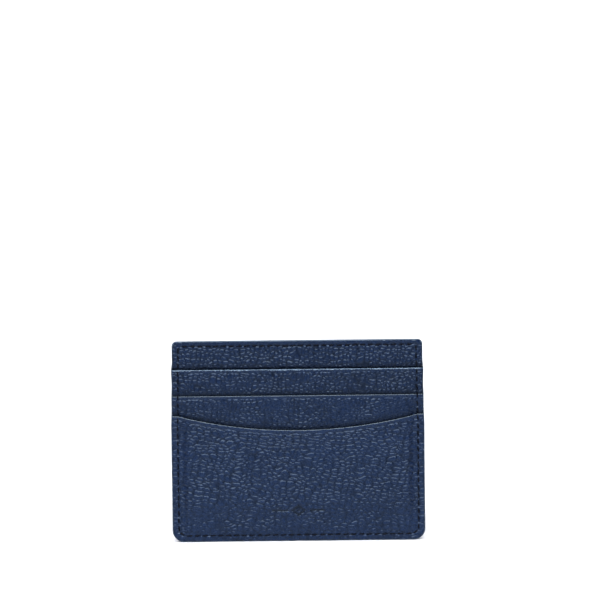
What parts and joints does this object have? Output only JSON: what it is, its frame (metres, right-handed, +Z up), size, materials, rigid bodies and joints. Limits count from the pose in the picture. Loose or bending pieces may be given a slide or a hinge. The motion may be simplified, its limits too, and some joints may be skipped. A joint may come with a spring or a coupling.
{
  "type": "card holder",
  "caption": "Flat pebbled-leather card holder with stepped card slots and a scooped outer pocket on each face, and an open pocket down the middle.",
  "frame": {"origin": "middle of the bottom edge, at the lowest point", "axes": "+X along the width to the viewer's right, +Y through the thickness to the back, +Z up to the pocket mouths; the front faces -Y"},
  "size_m": [0.1, 0.0066, 0.08],
  "materials": {
    "leather": "pebbled, satin",
    "lining": "smooth, matte",
    "edge_paint": "smooth, satin",
    "thread": "waxed, satin"
  },
  "bodies": {
    "root": {"painted_edge": "edge_paint", "front_lining": "lining", "front_panel": "leather", "front_upper_slot": "leather", "front_middle_slot": "leather", "front_outer_pocket": "leather", "front_top_lip": "edge_paint", "front_upper_slot_lip": "edge_paint", "front_middle_slot_lip": "edge_paint", "front_outer_pocket_lip": "edge_paint", "front_seam_thread": "thread", "front_top_thread": "thread", "front_upper_slot_hem_thread": "thread", "front_middle_slot_hem_thread": "thread", "back_lining": "lining", "back_panel": "leather", "back_upper_slot": "leather", "back_middle_slot": "leather", "back_outer_pocket": "leather", "back_top_lip": "edge_paint", "back_upper_slot_lip": "edge_paint", "back_middle_slot_lip": "edge_paint", "back_outer_pocket_lip": "edge_paint", "back_seam_thread": "thread", "back_top_thread": "thread", "back_upper_slot_hem_thread": "thread", "back_middle_slot_hem_thread": "thread"}
  },
  "joints": []
}
